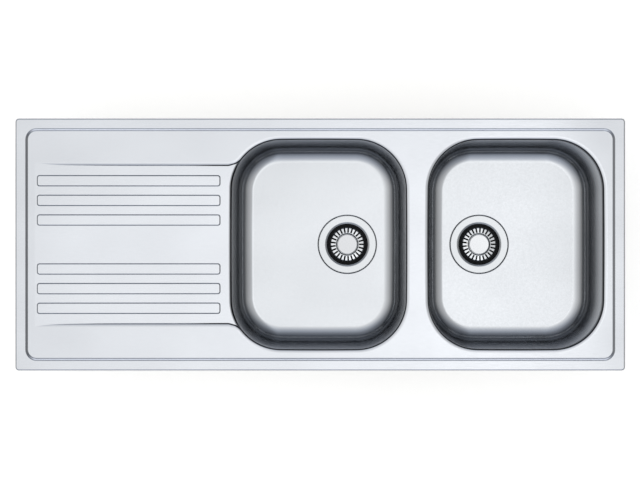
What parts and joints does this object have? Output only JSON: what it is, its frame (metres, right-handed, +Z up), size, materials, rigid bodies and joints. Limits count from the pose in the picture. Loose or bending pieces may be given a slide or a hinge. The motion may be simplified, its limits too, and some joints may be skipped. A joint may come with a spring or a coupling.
{
  "type": "inset kitchen sink",
  "caption": "Inset stainless steel kitchen sink with two deep bowls, a ribbed drainer on the left, lift-out strainers, wastes and swinging clips under the rim.",
  "frame": {"origin": "middle of the sink's plan, on the worktop's top face, which is the underside of the rim seal", "axes": "+X along the sink from the drainer to the bowls, +Y to the back, +Z up"},
  "size_m": [1.16, 0.48, 0.255],
  "materials": {
    "satin_steel": "fine satin stainless steel",
    "polished_steel": "bright polished stainless steel",
    "black_rubber": "smooth black rubber",
    "foam_strip": "closed-cell foam strip",
    "bitumen_pad": "matt bitumen sheet",
    "black_plastic": "moulded polypropylene",
    "brass_insert": "turned brass",
    "zinc_plate": "zinc-plated steel"
  },
  "bodies": {
    "sink": {"sink_top": "satin_steel", "left_bowl": "satin_steel", "right_bowl": "satin_steel", "rim_seal": "foam_strip", "left_bowl_pad": "bitumen_pad", "right_bowl_pad": "bitumen_pad", "clip_brackets": "zinc_plate", "clip_screws": "zinc_plate", "left_waste_cup": "polished_steel", "left_cup_seal": "black_rubber", "left_body_seal": "black_rubber", "left_waste_body": "black_plastic", "left_body_insert": "brass_insert", "left_waste_screw": "polished_steel", "right_waste_cup": "polished_steel", "right_cup_seal": "black_rubber", "right_body_seal": "black_rubber", "right_waste_body": "black_plastic", "right_body_insert": "brass_insert", "right_waste_screw": "polished_steel"},
    "left_strainer_assembly": {"left_strainer": "polished_steel", "left_strainer_ring": "black_rubber", "left_strainer_cap": "polished_steel", "left_strainer_pin": "polished_steel"},
    "right_strainer_assembly": {"right_strainer": "polished_steel", "right_strainer_ring": "black_rubber", "right_strainer_cap": "polished_steel", "right_strainer_pin": "polished_steel"},
    "front_1_clip": {"clip_arm_front_1": "zinc_plate"},
    "front_2_clip": {"clip_arm_front_2": "zinc_plate"},
    "front_3_clip": {"clip_arm_front_3": "zinc_plate"},
    "front_4_clip": {"clip_arm_front_4": "zinc_plate"},
    "back_1_clip": {"clip_arm_back_1": "zinc_plate"},
    "back_2_clip": {"clip_arm_back_2": "zinc_plate"},
    "back_3_clip": {"clip_arm_back_3": "zinc_plate"},
    "back_4_clip": {"clip_arm_back_4": "zinc_plate"},
    "left_clip": {"clip_arm_left": "zinc_plate"},
    "right_clip": {"clip_arm_right": "zinc_plate"}
  },
  "joints": [
    {"name": "left_strainer_lift", "type": "slide", "parent": "sink", "child": "left_strainer_assembly", "axis": [0, 0, 1], "range_m": [0, 0.2]},
    {"name": "right_strainer_lift", "type": "slide", "parent": "sink", "child": "right_strainer_assembly", "axis": [0, 0, 1], "range_m": [0, 0.2]},
    {"name": "front_1_clip_swing", "type": "hinge", "parent": "sink", "child": "front_1_clip", "pos_m": [-0.45, -0.2135, -0.0567], "axis": [0, 0, 1], "range_deg": [0, 90]},
    {"name": "front_2_clip_swing", "type": "hinge", "parent": "sink", "child": "front_2_clip", "pos_m": [-0.15, -0.2135, -0.0567], "axis": [0, 0, 1], "range_deg": [0, 90]},
    {"name": "front_3_clip_swing", "type": "hinge", "parent": "sink", "child": "front_3_clip", "pos_m": [0.15, -0.2135, -0.0567], "axis": [0, 0, 1], "range_deg": [0, 90]},
    {"name": "front_4_clip_swing", "type": "hinge", "parent": "sink", "child": "front_4_clip", "pos_m": [0.45, -0.2135, -0.0567], "axis": [0, 0, 1], "range_deg": [0, 90]},
    {"name": "back_1_clip_swing", "type": "hinge", "parent": "sink", "child": "back_1_clip", "pos_m": [-0.45, 0.2135, -0.0567], "axis": [0, 0, 1], "range_deg": [0, 90]},
    {"name": "back_2_clip_swing", "type": "hinge", "parent": "sink", "child": "back_2_clip", "pos_m": [-0.15, 0.2135, -0.0567], "axis": [0, 0, 1], "range_deg": [0, 90]},
    {"name": "back_3_clip_swing", "type": "hinge", "parent": "sink", "child": "back_3_clip", "pos_m": [0.15, 0.2135, -0.0567], "axis": [0, 0, 1], "range_deg": [0, 90]},
    {"name": "back_4_clip_swing", "type": "hinge", "parent": "sink", "child": "back_4_clip", "pos_m": [0.45, 0.2135, -0.0567], "axis": [0, 0, 1], "range_deg": [0, 90]},
    {"name": "left_clip_swing", "type": "hinge", "parent": "sink", "child": "left_clip", "pos_m": [-0.5535, 0, -0.0567], "axis": [0, 0, 1], "range_deg": [0, 90]},
    {"name": "right_clip_swing", "type": "hinge", "parent": "sink", "child": "right_clip", "pos_m": [0.5535, 0, -0.0567], "axis": [0, 0, 1], "range_deg": [0, 90]}
  ]
}
